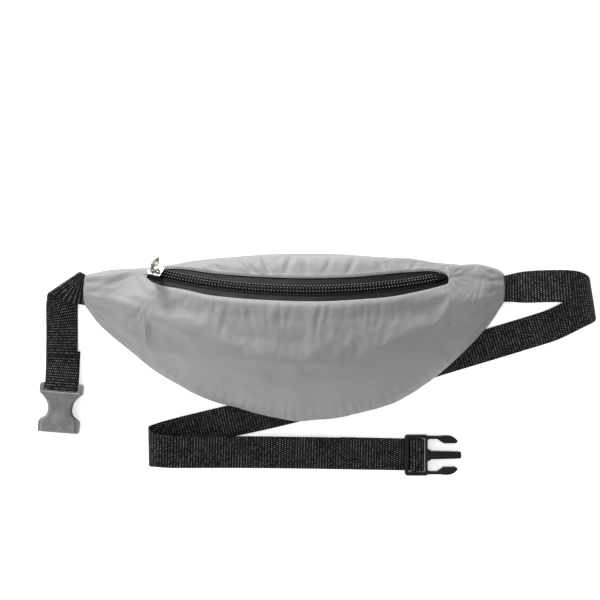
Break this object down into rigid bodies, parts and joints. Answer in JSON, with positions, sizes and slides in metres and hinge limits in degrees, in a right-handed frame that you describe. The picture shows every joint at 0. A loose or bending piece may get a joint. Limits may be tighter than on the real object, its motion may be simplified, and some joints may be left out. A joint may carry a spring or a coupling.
{
  "type": "waist bag",
  "caption": "Reflective waist bag with a curved zip, lying on its back; adjustable webbing belt closed by a side-release buckle.",
  "frame": {"origin": "under the middle of the bag body, on the surface that the bag lies on", "axes": "+X along the bag's length towards the long strap, +Y towards the zip side, +Z out of the bag's front"},
  "size_m": [0.4364, 0.1728, 0.053],
  "materials": {
    "reflective_fabric": "satin retroreflective grey, fine grain",
    "zip_tape": "matt black woven tape",
    "zip_nylon": "glossy black nylon",
    "slider_metal": "bright nickel plate",
    "webbing": "coarse black polypropylene weave",
    "thread": "black polyester thread",
    "grey_plastic": "fine spark-eroded texture",
    "black_plastic": "smooth semi-matt"
  },
  "bodies": {
    "bag": {"front_panel": "reflective_fabric", "back_panel": "reflective_fabric", "zipper_tape_upper": "zip_tape", "zipper_tape_lower": "zip_tape", "zipper_coil_upper": "zip_nylon", "zipper_coil_lower": "zip_nylon", "zipper_bottom_stop": "zip_nylon", "strap_short": "webbing", "strap_long": "webbing", "strap_run": "webbing", "bartack_short_strap": "thread"},
    "zip_slider": {"zipper_slider_body": "slider_metal", "zipper_slider_bridge": "slider_metal"},
    "zip_pull": {"zipper_pull_tab": "slider_metal"},
    "male_half": {"buckle_male": "black_plastic", "strap_tail": "webbing", "bartack_tail_hem": "thread"},
    "arm_upper": {"buckle_arm_upper": "black_plastic"},
    "arm_lower": {"buckle_arm_lower": "black_plastic"},
    "female_half": {"buckle_female": "grey_plastic"}
  },
  "joints": [
    {"name": "zip_slide", "type": "hinge", "parent": "bag", "child": "zip_slider", "pos_m": [0.0113, 0.15894, -0.18403], "axis": [0, 0.8762, 0.4819], "range_deg": [0, 47.8], "deforming": ["zipper_coil_upper", "zipper_coil_lower"]},
    {"name": "pull_swing", "type": "hinge", "parent": "zip_slider", "child": "zip_pull", "pos_m": [-0.10799, 0.05308, 0.01803], "axis": [0.6927, 0.6477, -0.3171], "range_deg": [-98, 54]},
    {"name": "buckle_adjust", "type": "slide", "parent": "bag", "child": "male_half", "axis": [-0.9997, 0.0237, 0], "range_m": [0, 0.06], "deforming": ["strap_run"]},
    {"name": "arm_upper_flex", "type": "hinge", "parent": "male_half", "child": "arm_upper", "pos_m": [0.1048, -0.07855, 0.0033], "axis": [0, 0, -1], "range_deg": [0, 7], "stiffness_Nm_per_rad": 1.2},
    {"name": "arm_lower_flex", "type": "hinge", "parent": "male_half", "child": "arm_lower", "pos_m": [0.1048, -0.10615, 0.0033], "axis": [0, 0, 1], "range_deg": [0, 7], "stiffness_Nm_per_rad": 1.2},
    {"name": "female_swivel", "type": "hinge", "parent": "bag", "child": "female_half", "pos_m": [-0.18205, -0.0383, 0.0052], "axis": [-0.997, 0.0776, 0], "range_deg": [0, 70]}
  ]
}
